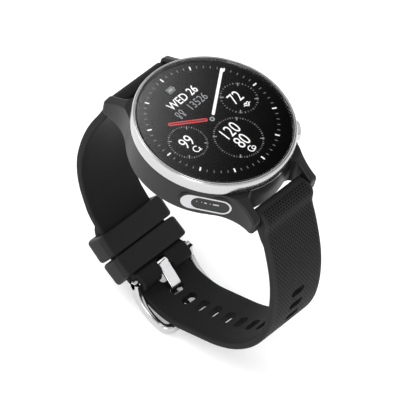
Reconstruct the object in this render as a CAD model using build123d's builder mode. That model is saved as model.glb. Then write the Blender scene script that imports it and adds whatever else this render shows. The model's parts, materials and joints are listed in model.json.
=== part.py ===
from build123d import *
from math import cos, radians, sin, sqrt
import os

os.makedirs("parts", exist_ok=True)

# GPS running watch, buckled, in millimetres.
# Origin: centre of the outer face of the back sensor window, which rests on the wrist.
# +Z is out of the dial, +Y towards 12 o'clock, +X towards 3 o'clock.

# ---- driving dimensions: head ----
HEAD_H = 14.5
CASE_R = 23.3
CASE_TOP = 10.4
CASE_BOTTOM = 0.8
CAVITY_R = 20.3
CAVITY_FLOOR = 3.8
LEDGE_BOTTOM = 2.6
LEDGE_R = 14.5
COVER_R = 19.5
COVER_TOP = 2.2
WINDOW_R = 10.9
GLASS_R = 22.3
GLASS_BOTTOM = 13.2
DISPLAY_R = 20.2
DISPLAY_BOTTOM = 12.3
SEAT_R = 21.7
SEAT_BOTTOM = 8.8
SCREW_CIRCLE_R = 17.4
SCREW_ANGLES = (60, 120, 240, 300)

# ---- driving dimensions: lugs and spring bars ----
LUG_IN = 10.2
LUG_TIP_Y = 29.0
LUG_TIP_X = 13.6
LUG_ROOT_R = 2.0
LUG_EDGE_R = 0.8
BAR_Y = 25.75
BAR_Z = 4.2
LUG_HOLE_R = 0.5
LUG_HOLE_END = 11.8
TUBE_R = 0.9
TUBE_BORE_R = 0.6
TUBE_HALF = 9.6
PIN_TIP_R = 0.44
PIN_TIP_END = 11.4
LEVER_X = 6.0
LEVER_TRAVEL = 1.3

# ---- driving dimensions: push buttons ----
BUTTON_ANGLES = {"upper": 34, "lower": -34}
BUTTON_Z = 6.6
BUTTON_R = 3.0
BUTTON_TIP = 25.8
STEM_R = 1.0

# ---- driving dimensions: finger sensor on the case side ----
FINGER_ANGLE = -144.5
FINGER_SHIFT = 1.7
FINGER_Z = 5.7
FINGER_FACE = 23.35
FINGER_LENGTH = 14.4
FINGER_HEIGHT = 5.7
FINGER_RIM = 0.55
FINGER_PAD = 3.0

# ---- driving dimensions: strap loop ----
# The overlapped stretch runs on circles about LOOP_Y, BAR_Z, a point on the line of the two spring bars.
STRAP_HALF = 10.0
LOOP_Y = -13.6
INNER_STRAP_R = 64.5
INNER_STRAP_T = 2.4
OUTER_STRAP_R = 67.15
OUTER_STRAP_T = 2.3
BUCKLE_BAR_R = 63.8
BUCKLE_BAR_ANGLE = -72.3
KEEPER_INNER_R = 61.6
KEEPER_OUTER_R = 70.0
KEEPER_ROOM = (62.95, 68.65)
KEEPER_HALF = 13.0
KEEPER_ROOM_HALF = 10.35
FIXED_KEEPER_ANGLES = (-70.0, -64.0)
FREE_KEEPER_ANGLES = (-63.5, -57.2)
HOLE_PITCH = 5.1
HOLE_LENGTH = 2.6
HOLE_WIDTH = 5.4
HOLES_BEFORE_TANG = 4
HOLES_AFTER_TANG = 12
ARM_IN = 10.2
ARM_OUT = 12.1


def save(part, label):
    part.label = label
    export_step(part, f"parts/{label}.step")


def loop_point(radius, angle):
    """Point of the strap plane at a radius and angle about the loop centre."""
    return (LOOP_Y + radius * cos(radians(angle)), BAR_Z + radius * sin(radians(angle)))


def radial_plane(angle, distance=0, height=0, shift=0):
    """Plane facing outwards from the case axis; x runs along the case, y runs up."""
    out = Vector(cos(radians(angle)), sin(radians(angle)), 0)
    along = Vector(-sin(radians(angle)), cos(radians(angle)), 0)
    return Plane(out * distance + along * shift + Vector(0, 0, height), x_dir=along, z_dir=out)


# =====================================================================
# Case middle with four lugs
# =====================================================================
FLANK_START = (CASE_R * cos(radians(44)), CASE_R * sin(radians(44)))
FLANK_DIRECTION = (-sin(radians(44)), cos(radians(44)))
LUG_TOP_PLANE = Plane((LUG_IN, 22.8, CASE_TOP), z_dir=(0.25, 0.607, 1))
# the inner face of a lug runs into the round case through a hollow corner
ROOT_Y = sqrt((CASE_R + LUG_ROOT_R) ** 2 - (LUG_IN - LUG_ROOT_R) ** 2)
ROOT_SCALE = CASE_R / (CASE_R + LUG_ROOT_R)
ROOT_END = ((LUG_IN - LUG_ROOT_R) * ROOT_SCALE, ROOT_Y * ROOT_SCALE)

with BuildPart() as lug:
    with BuildSketch(Plane.YZ.offset(ROOT_END[0])):
        with BuildLine():
            Polyline(
                (12, CASE_TOP),
                (24.4, CASE_TOP),
                (LUG_TIP_Y, 8.4),
                (LUG_TIP_Y - 0.2, 1.0),
                (24.8, 0.9),
                (22.3, CASE_BOTTOM),
                (12, CASE_BOTTOM),
                close=True,
            )
        make_face()
    extrude(amount=12)
    with BuildSketch(Plane.XY):
        with BuildLine():
            flank = TangentArc(FLANK_START, (LUG_TIP_X, LUG_TIP_Y + 0.2), tangent=FLANK_DIRECTION)
            Polyline(flank @ 1, (LUG_IN, LUG_TIP_Y + 0.2), (LUG_IN, ROOT_Y))
            RadiusArc((LUG_IN, ROOT_Y), ROOT_END, LUG_ROOT_R)
            Polyline(ROOT_END, (ROOT_END[0], 12), (FLANK_START[0], 12), FLANK_START)
        make_face()
    extrude(amount=HEAD_H, mode=Mode.INTERSECT)
    split(bisect_by=LUG_TOP_PLANE, keep=Keep.BOTTOM)
    tip_edges = lug.edges().filter_by(lambda e: e.center().Y > LUG_TIP_Y - 0.3 and abs(e.tangent_at(0.5).X) > 0.7)
    fillet(tip_edges.sort_by(Axis.Z)[-1:], radius=1.6)
    tip_edges = lug.edges().filter_by(lambda e: e.center().Y > LUG_TIP_Y - 0.5 and abs(e.tangent_at(0.5).X) > 0.7)
    fillet(tip_edges.sort_by(Axis.Z)[:1], radius=1.5)
    fillet(lug.edges().filter_by(lambda e: e.center().Y > 24.3), radius=LUG_EDGE_R)

with BuildPart() as mid_case:
    with BuildSketch(Plane.XZ):
        with BuildLine():
            Polyline(
                (0, CASE_BOTTOM),
                (CASE_R, CASE_BOTTOM),
                (CASE_R, CASE_TOP),
                (0, CASE_TOP),
                close=True,
            )
        make_face()
    revolve(axis=Axis.Z)
    fillet(mid_case.edges().group_by(Axis.Z)[0], radius=1.0)
    chamfer(mid_case.edges().group_by(Axis.Z)[-1], length=0.3)
    add(lug.part)
    add(lug.part.mirror(Plane.YZ))
    add(lug.part.mirror(Plane.XZ))
    add(lug.part.mirror(Plane.XZ).mirror(Plane.YZ))
    # flat boss round the finger sensor
    with BuildSketch(radial_plane(FINGER_ANGLE, 20.9, FINGER_Z, FINGER_SHIFT)):
        SlotOverall(FINGER_LENGTH + 1.3, FINGER_HEIGHT + 1.3)
    extrude(amount=FINGER_FACE - 0.25 - 20.9)
    # cavity, bezel seat and back opening
    with BuildSketch(Plane.XY.offset(CAVITY_FLOOR)):
        Circle(CAVITY_R)
    extrude(amount=HEAD_H, mode=Mode.SUBTRACT)
    with BuildSketch(Plane.XY.offset(SEAT_BOTTOM)):
        Circle(SEAT_R)
    extrude(amount=HEAD_H, mode=Mode.SUBTRACT)
    with BuildSketch(Plane.XY):
        Circle(COVER_R + 0.08)
    extrude(amount=LEDGE_BOTTOM, mode=Mode.SUBTRACT)
    with BuildSketch(Plane.XY):
        Circle(LEDGE_R)
    extrude(amount=CAVITY_FLOOR, mode=Mode.SUBTRACT)
    # screw bosses on the ledge
    with BuildSketch(Plane.XY.offset(LEDGE_BOTTOM)):
        for angle in SCREW_ANGLES:
            with Locations((SCREW_CIRCLE_R * cos(radians(angle)), SCREW_CIRCLE_R * sin(radians(angle)))):
                Circle(1.5)
    extrude(amount=3.2)
    with BuildSketch(Plane.XY.offset(LEDGE_BOTTOM)):
        for angle in SCREW_ANGLES:
            with Locations((SCREW_CIRCLE_R * cos(radians(angle)), SCREW_CIRCLE_R * sin(radians(angle)))):
                Circle(0.62)
    extrude(amount=2.4, mode=Mode.SUBTRACT)
    # spring-bar holes, blind in each lug
    with BuildSketch(Plane.YZ):
        with Locations((BAR_Y, BAR_Z), (-BAR_Y, BAR_Z)):
            Circle(LUG_HOLE_R)
    extrude(amount=LUG_HOLE_END, both=True, mode=Mode.SUBTRACT)
    # finger sensor pocket and the hole for its flex
    with BuildSketch(radial_plane(FINGER_ANGLE, 20.9, FINGER_Z, FINGER_SHIFT)):
        SlotOverall(FINGER_LENGTH + 0.16, FINGER_HEIGHT + 0.16)
    extrude(amount=6, mode=Mode.SUBTRACT)
    with BuildSketch(radial_plane(FINGER_ANGLE, 18.5, FINGER_Z, FINGER_SHIFT)):
        Rectangle(4, 1.2)
    extrude(amount=3, mode=Mode.SUBTRACT)
    # button pockets, spring wells and stem bores
    for angle in BUTTON_ANGLES.values():
        with BuildSketch(radial_plane(angle, 22.75, BUTTON_Z)):
            Circle(BUTTON_R + 0.15)
        extrude(amount=3, mode=Mode.SUBTRACT)
        with BuildSketch(radial_plane(angle, 21.95, BUTTON_Z)):
            Circle(2.2)
        extrude(amount=1, mode=Mode.SUBTRACT)
        with BuildSketch(radial_plane(angle, 18, BUTTON_Z)):
            Circle(STEM_R + 0.25)
        extrude(amount=3.4, mode=Mode.SUBTRACT)
        with BuildSketch(radial_plane(angle, 21, BUTTON_Z)):
            Circle(STEM_R + 0.05)
        extrude(amount=1.5, mode=Mode.SUBTRACT)
save(mid_case.part, "mid_case")

# =====================================================================
# Bezel, glass and display
# =====================================================================
with BuildPart() as bezel:
    with BuildSketch(Plane.XZ):
        with BuildLine():
            Polyline(
                (20.6, 11.6),
                (20.6, 12.9),
                (22.4, 12.9),
                (22.4, 14.35),
                (22.52, HEAD_H),
                (22.66, HEAD_H),
                (22.74, 14.28),
                (22.84, 14.28),
                (22.92, 14.42),
                (23.02, 14.42),
                (23.3, 13.9),
                (23.48, 13.0),
                (23.48, 11.0),
                (23.36, CASE_TOP),
                (21.55, CASE_TOP),
                (21.55, 9.4),
                (20.9, 9.4),
                (20.9, 11.6),
                close=True,
            )
        make_face()
    revolve(axis=Axis.Z)
save(bezel.part, "bezel")

with BuildPart() as bezel_gasket:
    with BuildSketch(Plane.XY.offset(SEAT_BOTTOM)):
        Circle(21.6)
        Circle(20.95, mode=Mode.SUBTRACT)
    extrude(amount=0.6)
save(bezel_gasket.part, "bezel_gasket")

with BuildPart() as cover_glass:
    with BuildSketch(Plane.XY.offset(GLASS_BOTTOM)):
        Circle(GLASS_R)
    extrude(amount=HEAD_H - GLASS_BOTTOM)
    fillet(cover_glass.edges().group_by(Axis.Z)[-1], radius=0.3)
save(cover_glass.part, "cover_glass")

with BuildPart() as glass_adhesive:
    with BuildSketch(Plane.XY.offset(12.9)):
        Circle(22.2)
        Circle(20.7, mode=Mode.SUBTRACT)
    extrude(amount=GLASS_BOTTOM - 12.9)
save(glass_adhesive.part, "glass_adhesive")

with BuildPart() as display_panel:
    with BuildSketch(Plane.XY.offset(DISPLAY_BOTTOM)):
        Circle(DISPLAY_R)
    extrude(amount=GLASS_BOTTOM - DISPLAY_BOTTOM)
save(display_panel.part, "display_panel")

# flex from the lower edge of the display, through the chassis slot, to the board
with BuildPart() as display_flex:
    with BuildSketch(Plane.YZ):
        with BuildLine():
            Polyline(
                (-16.6, 12.3),
                (-19.4, 12.3),
                (-19.4, 9.55),
                (-16.0, 9.55),
                (-16.0, 9.7),
                (-19.25, 9.7),
                (-19.25, 12.15),
                (-16.6, 12.15),
                close=True,
            )
        make_face()
    extrude(amount=4, both=True)
save(display_flex.part, "display_flex")

# =====================================================================
# Electronics inside the case
# =====================================================================
with BuildPart() as chassis:
    with BuildSketch(Plane.XY.offset(11.3)):
        Circle(20.1)
        with Locations((0, -18.6)):
            Rectangle(9, 4.4, mode=Mode.SUBTRACT)
    extrude(amount=0.8)
    with BuildSketch(Plane.XY.offset(9.45)):
        with PolarLocations(17.4, 4, start_angle=45):
            Circle(1.1)
    extrude(amount=1.85)
save(chassis.part, "chassis")

with BuildPart() as antenna_ring:
    with BuildSketch(Plane.XY.offset(9.9)):
        Circle(20.1)
        Circle(19.5, mode=Mode.SUBTRACT)
        with Locations((0, -20)):
            Rectangle(10, 3, mode=Mode.SUBTRACT)
    extrude(amount=1.3)
save(antenna_ring.part, "antenna_ring")

with BuildPart() as main_board:
    with BuildSketch(Plane.XY.offset(8.6)):
        Circle(19.0)
    extrude(amount=0.8)
save(main_board.part, "main_board")

with BuildPart() as board_shield:
    with BuildSketch(Plane.XY.offset(9.4)):
        with Locations((-5, 2)):
            RectangleRounded(13, 12, 0.8)
    extrude(amount=1.5)
    with BuildSketch(Plane.XY.offset(9.4)):
        with Locations((-5, 2)):
            RectangleRounded(12.6, 11.6, 0.6)
    extrude(amount=1.3, mode=Mode.SUBTRACT)
save(board_shield.part, "board_shield")

with BuildPart() as processor_chip:
    with BuildSketch(Plane.XY.offset(9.4)):
        with Locations((-5, 2)):
            Rectangle(7, 7)
    extrude(amount=0.9)
save(processor_chip.part, "processor_chip")

with BuildPart() as gps_receiver:
    with BuildSketch(Plane.XY.offset(9.4)):
        with Locations((8, 7)):
            Rectangle(5, 5)
    extrude(amount=1.0)
save(gps_receiver.part, "gps_receiver")

with BuildPart() as board_chips:
    with BuildSketch(Plane.XY.offset(9.4)):
        for x, y, width, depth in ((8, 0, 3.4, 3), (7, -6, 3, 2.4), (13, 3, 2, 2.6), (-4, -9, 4, 2.2), (1, 13, 4.6, 2)):
            with Locations((x, y)):
                Rectangle(width, depth)
    extrude(amount=0.8)
save(board_chips.part, "board_chips")

with BuildPart() as battery:
    with BuildSketch(Plane.XY.offset(4.2)):
        with Locations((-2, 0)):
            RectangleRounded(21, 25, 2)
    extrude(amount=4.0)
    fillet(battery.faces().sort_by(Axis.Z)[-1].edges(), radius=0.4)
save(battery.part, "battery")

with BuildPart() as vibration_motor:
    with BuildSketch(Plane.XY.offset(4.3)):
        with Locations((14.2, 0)):
            Circle(4.0)
    extrude(amount=2.7)
save(vibration_motor.part, "vibration_motor")

# =====================================================================
# Back cover and its sensors
# =====================================================================
with BuildPart() as back_cover:
    with BuildSketch(Plane.XY.offset(CASE_BOTTOM)):
        Circle(COVER_R)
        Circle(WINDOW_R + 0.06, mode=Mode.SUBTRACT)
    extrude(amount=COVER_TOP - CASE_BOTTOM)
    chamfer(back_cover.edges().group_by(Axis.Z)[0].sort_by(SortBy.RADIUS)[-1], length=0.25)
    # recesses for the two skin electrodes
    with BuildSketch(Plane.XY.offset(CASE_BOTTOM)):
        Circle(14.66)
        Circle(12.14, mode=Mode.SUBTRACT)
        Rectangle(40, 6.88, mode=Mode.SUBTRACT)
    extrude(amount=0.66, mode=Mode.SUBTRACT)
    # screw holes and head recesses
    for angle in SCREW_ANGLES:
        centre = (SCREW_CIRCLE_R * cos(radians(angle)), SCREW_CIRCLE_R * sin(radians(angle)))
        with BuildSketch(Plane.XY.offset(CASE_BOTTOM)):
            with Locations(centre):
                Circle(1.25)
        extrude(amount=0.7, mode=Mode.SUBTRACT)
        with BuildSketch(Plane.XY.offset(CASE_BOTTOM)):
            with Locations(centre):
                Circle(0.72)
        extrude(amount=2, mode=Mode.SUBTRACT)
    # charging pin holes
    with BuildSketch(Plane.XY.offset(CASE_BOTTOM)):
        with Locations((0, -16.9)):
            with GridLocations(2.5, 1, 4, 1):
                Circle(0.7)
    extrude(amount=2, mode=Mode.SUBTRACT)
save(back_cover.part, "back_cover")

with BuildPart() as back_gasket:
    with BuildSketch(Plane.XY.offset(COVER_TOP)):
        Circle(15.6)
        Circle(14.8, mode=Mode.SUBTRACT)
    extrude(amount=LEDGE_BOTTOM - COVER_TOP)
save(back_gasket.part, "back_gasket")

with BuildPart() as case_screws:
    for angle in SCREW_ANGLES:
        centre = (SCREW_CIRCLE_R * cos(radians(angle)), SCREW_CIRCLE_R * sin(radians(angle)))
        with BuildSketch(Plane.XY.offset(CASE_BOTTOM + 0.1)):
            with Locations(centre):
                Circle(1.15)
        extrude(amount=0.6)
        with BuildSketch(Plane.XY.offset(CASE_BOTTOM + 0.7)):
            with Locations(centre):
                Circle(0.55)
        extrude(amount=3.2)
        with BuildSketch(Plane.XY.offset(CASE_BOTTOM + 0.1)):
            with Locations(centre):
                RegularPolygon(0.5, 6)
        extrude(amount=0.4, mode=Mode.SUBTRACT)
save(case_screws.part, "case_screws")

with BuildPart() as back_window:
    with BuildSketch(Plane.XZ):
        with BuildLine():
            Polyline((0, 0), (7.0, 0))
            TangentArc((7.0, 0), (WINDOW_R, CASE_BOTTOM), tangent=(1, 0))
            Polyline((WINDOW_R, CASE_BOTTOM), (WINDOW_R, 1.6), (0, 1.6), (0, 0))
        make_face()
    revolve(axis=Axis.Z)
save(back_window.part, "back_window")

with BuildPart() as back_electrodes:
    with BuildSketch(Plane.XY.offset(CASE_BOTTOM - 0.08)):
        Circle(14.6)
        Circle(12.2, mode=Mode.SUBTRACT)
        Rectangle(40, 7, mode=Mode.SUBTRACT)
    extrude(amount=0.74)
save(back_electrodes.part, "back_electrodes")

with BuildPart() as sensor_board:
    with BuildSketch(Plane.XY.offset(2.8)):
        Circle(9.8)
    extrude(amount=0.6)
save(sensor_board.part, "sensor_board")

with BuildPart() as sensor_leds:
    with BuildSketch(Plane.XY.offset(2.3)):
        with GridLocations(2.2, 2.2, 2, 2):
            Rectangle(1.3, 1.3)
    extrude(amount=0.5)
save(sensor_leds.part, "sensor_leds")

with BuildPart() as light_detectors:
    with BuildSketch(Plane.XY.offset(2.4)):
        with PolarLocations(6.2, 4):
            Rectangle(1.4, 2.8)
    extrude(amount=0.4)
save(light_detectors.part, "light_detectors")

with BuildPart() as light_barrier:
    with BuildSketch(Plane.XY.offset(1.6)):
        Circle(4.4)
        Circle(3.9, mode=Mode.SUBTRACT)
    extrude(amount=1.2)
save(light_barrier.part, "light_barrier")

with BuildPart() as charging_pins:
    with BuildSketch(Plane.XY.offset(CASE_BOTTOM + 0.1)):
        with Locations((0, -16.9)):
            with GridLocations(2.5, 1, 4, 1):
                Circle(0.62)
    extrude(amount=1.65)
save(charging_pins.part, "charging_pins")

# =====================================================================
# Finger sensor
# =====================================================================
FINGER_WINDOW_L = FINGER_LENGTH - FINGER_PAD - FINGER_RIM
FINGER_WINDOW_H = FINGER_HEIGHT - 2 * FINGER_RIM
FINGER_WINDOW_SHIFT = (FINGER_PAD - FINGER_RIM) / 2

with BuildPart() as finger_electrode:
    with BuildSketch(radial_plane(FINGER_ANGLE, 21.3, FINGER_Z, FINGER_SHIFT)):
        SlotOverall(FINGER_LENGTH, FINGER_HEIGHT)
        with Locations((FINGER_WINDOW_SHIFT, 0)):
            SlotOverall(FINGER_WINDOW_L, FINGER_WINDOW_H, mode=Mode.SUBTRACT)
    extrude(amount=FINGER_FACE - 21.3)
save(finger_electrode.part, "finger_electrode")

with BuildPart() as finger_window:
    with BuildSketch(radial_plane(FINGER_ANGLE, 22.1, FINGER_Z, FINGER_SHIFT)):
        with Locations((FINGER_WINDOW_SHIFT, 0)):
            SlotOverall(FINGER_WINDOW_L - 0.1, FINGER_WINDOW_H - 0.1)
    extrude(amount=FINGER_FACE - 0.15 - 22.1)
save(finger_window.part, "finger_window")

with BuildPart() as finger_module:
    with BuildSketch(radial_plane(FINGER_ANGLE, 20.9, FINGER_Z, FINGER_SHIFT)):
        with Locations((FINGER_WINDOW_SHIFT, 0)):
            Rectangle(7.6, 3.0)
    extrude(amount=0.6)
    with BuildSketch(radial_plane(FINGER_ANGLE, 21.5, FINGER_Z, FINGER_SHIFT)):
        for place, width in ((-1.6, 0.8), (0.2, 1.2), (2.2, 1.6)):
            with Locations((FINGER_WINDOW_SHIFT + place, 0.7)):
                Rectangle(width, 0.8)
    extrude(amount=0.35)
save(finger_module.part, "finger_module")

with BuildPart() as finger_gasket:
    with BuildSketch(radial_plane(FINGER_ANGLE, 20.9, FINGER_Z, FINGER_SHIFT)):
        SlotOverall(FINGER_LENGTH - 0.2, FINGER_HEIGHT - 0.2)
        SlotOverall(FINGER_LENGTH - 1.2, FINGER_HEIGHT - 1.2, mode=Mode.SUBTRACT)
    extrude(amount=0.4)
save(finger_gasket.part, "finger_gasket")

# =====================================================================
# Push buttons: cap with stem, seal, clip, return spring and switch
# =====================================================================
for side, angle in BUTTON_ANGLES.items():
    with BuildPart() as button:
        with BuildSketch(radial_plane(angle, 23.3, BUTTON_Z)):
            Circle(BUTTON_R)
        extrude(amount=BUTTON_TIP - 23.3)
        outer_face = button.faces().sort_by_distance((0, 0, BUTTON_Z))[-1]
        fillet(outer_face.edges(), radius=0.6)
        with BuildSketch(radial_plane(angle, 18.6, BUTTON_Z)):
            Circle(STEM_R)
        extrude(amount=4.7)
        for start, length in ((19.55, 0.45), (20.6, 0.6)):
            with BuildSketch(radial_plane(angle, start, BUTTON_Z)):
                Circle(STEM_R + 0.1)
                Circle(STEM_R - 0.22, mode=Mode.SUBTRACT)
            extrude(amount=length, mode=Mode.SUBTRACT)
    save(button.part, f"button_{side}")

    with BuildPart() as seal:
        with BuildSketch(radial_plane(angle, 20.68, BUTTON_Z)):
            Circle(STEM_R + 0.2)
            Circle(STEM_R - 0.2, mode=Mode.SUBTRACT)
        extrude(amount=0.44)
        fillet(seal.edges(), radius=0.12)
    save(seal.part, f"button_{side}_seal")

    with BuildPart() as clip:
        with BuildSketch(radial_plane(angle, 19.6, BUTTON_Z)):
            Circle(1.75)
            Circle(STEM_R - 0.2, mode=Mode.SUBTRACT)
            with Locations((1.2, 0)):
                Rectangle(1.4, 1.2, mode=Mode.SUBTRACT)
        extrude(amount=0.35)
    save(clip.part, f"button_{side}_clip")

with BuildPart() as button_springs:
    for angle in BUTTON_ANGLES.values():
        well = radial_plane(angle, 22.1, BUTTON_Z)
        with BuildLine():
            coil = Helix(pitch=0.3, height=0.54, radius=1.85, center=well.origin, direction=well.z_dir)
        with BuildSketch(Plane(coil @ 0, z_dir=coil % 0)):
            Circle(0.13)
        sweep(path=coil, is_frenet=True)
save(button_springs.part, "button_springs")

with BuildPart() as tact_switches:
    for angle in BUTTON_ANGLES.values():
        with BuildSketch(radial_plane(angle, 15.6, BUTTON_Z)):
            Rectangle(3.4, 3.0)
        extrude(amount=1.9)
        with BuildSketch(radial_plane(angle, 17.5, BUTTON_Z)):
            Circle(0.9)
        extrude(amount=0.5)
save(tact_switches.part, "tact_switches")

# =====================================================================
# Strap loop, drawn in the YZ plane and extruded across the width
# =====================================================================
BUCKLE_BAR = loop_point(BUCKLE_BAR_R, BUCKLE_BAR_ANGLE)
BUCKLE_LUMP_R = 1.95
BUCKLE_PIN_R = 0.8
LUG_LUMP_R = 2.05
LOOP_AXIS = Axis((0, LOOP_Y, BAR_Z), (1, 0, 0))
TAIL_START_ANGLE = -53.6
TAIL_END_ANGLE = -78.0
TANG_HOLE_DISTANCE = 30.5


def loop_plane(radius, angle):
    """Plane facing outwards from the loop centre; x runs across the strap, y towards the buckle."""
    y, z = loop_point(radius, angle)
    return Plane((0, y, z), x_dir=(1, 0, 0), z_dir=(0, cos(radians(angle)), sin(radians(angle))))


with BuildLine() as inner_path:
    overlap = CenterArc((LOOP_Y, BAR_Z), INNER_STRAP_R, BUCKLE_BAR_ANGLE, -53.5 - BUCKLE_BAR_ANGLE)
    bend = JernArc(overlap @ 1, overlap % 1, 14, 20)
    straight = PolarLine(bend @ 1, 3.5, direction=bend % 1)
    belly = JernArc(straight @ 1, straight % 1, 28, 33.5)
    flank = JernArc(belly @ 1, belly % 1, 50, 21)
    TangentArc(flank @ 1, (28.9, 0.6), tangent=flank % 1)

with BuildLine() as outer_path:
    overlap = CenterArc((LOOP_Y, BAR_Z), OUTER_STRAP_R, TAIL_START_ANGLE, TAIL_END_ANGLE - TAIL_START_ANGLE)
    bend = JernArc(overlap @ 1, overlap % 1, 21, -34)
    straight = PolarLine(bend @ 1, 10.6, direction=bend % 1)
    belly = JernArc(straight @ 1, straight % 1, 28.5, -68)
    flank = JernArc(belly @ 1, belly % 1, 50, -22)
    TangentArc(flank @ 1, (-30.0, 0.8), tangent=flank % 1)

# thick ends that hold the lug spring bars, and the end that holds the buckle bar
with BuildSketch(Plane.YZ) as lug_end_12:
    with Locations((BAR_Y, BAR_Z)):
        Circle(LUG_LUMP_R)
    with Locations((27.4, 4.0)):
        Circle(2.1)
    with Locations((28.9, 0.6)):
        Circle(INNER_STRAP_T / 2)
    make_hull()

with BuildSketch(Plane.YZ) as lug_end_6:
    with Locations((-BAR_Y, BAR_Z)):
        Circle(LUG_LUMP_R - 0.3)
    with Locations((-28.6, 3.5)):
        Circle(2.5)
    with Locations((-30.0, 0.8)):
        Circle(OUTER_STRAP_T / 2)
    make_hull()

with BuildSketch(Plane.YZ) as buckle_end:
    with Locations(BUCKLE_BAR):
        Circle(BUCKLE_LUMP_R)
    with Locations(loop_point(64.25, -73.9)):
        Circle(1.5)
    make_hull()

with BuildPart() as strap_buckle_side:
    with BuildSketch(Plane.YZ):
        trace(inner_path.line, line_width=INNER_STRAP_T)
        add(lug_end_12.sketch_local)
        add(buckle_end.sketch_local)
    extrude(amount=STRAP_HALF, both=True)
    # bores for the two bars
    with BuildSketch(Plane.YZ):
        with Locations((BAR_Y, BAR_Z)):
            Circle(TUBE_R + 0.1)
        with Locations(BUCKLE_BAR):
            Circle(BUCKLE_PIN_R + 0.05)
    extrude(amount=STRAP_HALF + 1, both=True, mode=Mode.SUBTRACT)
    # notch for the tang
    with BuildSketch(loop_plane(BUCKLE_BAR_R, BUCKLE_BAR_ANGLE)):
        with Locations((0, 1.6)):
            Rectangle(3.9, 6.8)
        with Locations((0, 3.9)):
            Circle(3.2)
    extrude(amount=5, both=True, mode=Mode.SUBTRACT)
    # slot for the quick-release lever
    with BuildSketch(Plane.XY.offset(BAR_Z)):
        with Locations((LEVER_X - LEVER_TRAVEL / 2, BAR_Y)):
            RectangleRounded(LEVER_TRAVEL + 1.4, 1.7, 0.4)
    extrude(amount=-4, mode=Mode.SUBTRACT)
save(strap_buckle_side.part, "strap_buckle_side")

outer_wire = outer_path.wires()[0]


def strap_hole_plane(distance):
    """Plane on the hole-side strap at a distance along it, facing out of the strap."""
    place = outer_wire.position_at(distance, position_mode=PositionMode.LENGTH)
    heading = outer_wire.tangent_at(distance, position_mode=PositionMode.LENGTH)
    return Plane((0, place.X, place.Y), x_dir=(1, 0, 0), z_dir=(0, heading.Y, -heading.X))


with BuildPart() as strap_hole_side:
    with BuildSketch(Plane.YZ):
        trace(outer_path.line, line_width=OUTER_STRAP_T)
        add(lug_end_6.sketch_local)
    extrude(amount=STRAP_HALF, both=True)
    with BuildSketch(Plane.YZ):
        with Locations((-BAR_Y, BAR_Z)):
            Circle(TUBE_R + 0.1)
    extrude(amount=STRAP_HALF + 1, both=True, mode=Mode.SUBTRACT)
    with BuildSketch(Plane.XY.offset(BAR_Z)):
        with Locations((LEVER_X - LEVER_TRAVEL / 2, -BAR_Y)):
            RectangleRounded(LEVER_TRAVEL + 1.4, 1.7, 0.4)
    extrude(amount=-4, mode=Mode.SUBTRACT)
    # rounded tail
    with BuildSketch(strap_hole_plane(0)):
        Rectangle(2 * STRAP_HALF + 2, 12)
        with Locations((0, -6)):
            RectangleRounded(2 * STRAP_HALF, 13.5, 5.5, mode=Mode.SUBTRACT)
    extrude(amount=4, both=True, mode=Mode.SUBTRACT)
    # adjustment slots
    for index in range(-HOLES_BEFORE_TANG, HOLES_AFTER_TANG + 1):
        with BuildSketch(strap_hole_plane(TANG_HOLE_DISTANCE + index * HOLE_PITCH)):
            RectangleRounded(HOLE_WIDTH, HOLE_LENGTH, HOLE_LENGTH / 2 - 0.05)
        extrude(amount=2, both=True, mode=Mode.SUBTRACT)
save(strap_hole_side.part, "strap_hole_side")

for label, angles in (("keeper_fixed", FIXED_KEEPER_ANGLES), ("keeper_free", FREE_KEEPER_ANGLES)):
    start = radians(angles[0])
    section = Plane((0, LOOP_Y, BAR_Z), x_dir=(1, 0, 0), z_dir=(0, -sin(start), cos(start)))
    with BuildPart() as keeper:
        with BuildSketch(section):
            with Locations((0, (KEEPER_INNER_R + KEEPER_OUTER_R) / 2)):
                RectangleRounded(2 * KEEPER_HALF, KEEPER_OUTER_R - KEEPER_INNER_R, 1.6)
            with Locations((0, sum(KEEPER_ROOM) / 2)):
                Rectangle(2 * KEEPER_ROOM_HALF, KEEPER_ROOM[1] - KEEPER_ROOM[0], mode=Mode.SUBTRACT)
        revolve(axis=LOOP_AXIS, revolution_arc=angles[1] - angles[0])
    save(keeper.part, label)

# =====================================================================
# Buckle
# =====================================================================
ARM_DEPTH = 2.6
FAR_BAR = (-8.9, -64.45)
BUCKLE_LENGTH = sqrt((BUCKLE_BAR[0] - FAR_BAR[0]) ** 2 + (BUCKLE_BAR[1] - FAR_BAR[1]) ** 2)
CHORD_Y = (FAR_BAR[0] - BUCKLE_BAR[0]) / BUCKLE_LENGTH
CHORD_Z = (FAR_BAR[1] - BUCKLE_BAR[1]) / BUCKLE_LENGTH
FRAME_PLANE = Plane((0, *BUCKLE_BAR), x_dir=(1, 0, 0), z_dir=(0, -CHORD_Z, CHORD_Y))

with BuildLine() as arm_path:
    ThreePointArc(BUCKLE_BAR, (-0.3, -63.5), FAR_BAR)

with BuildLine() as tang_path:
    FilletPolyline(BUCKLE_BAR, (3.9, -56.75), (-0.95, -59.95), (-1.35, -63.75), (-9.6, -65.75), radius=0.5)

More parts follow.
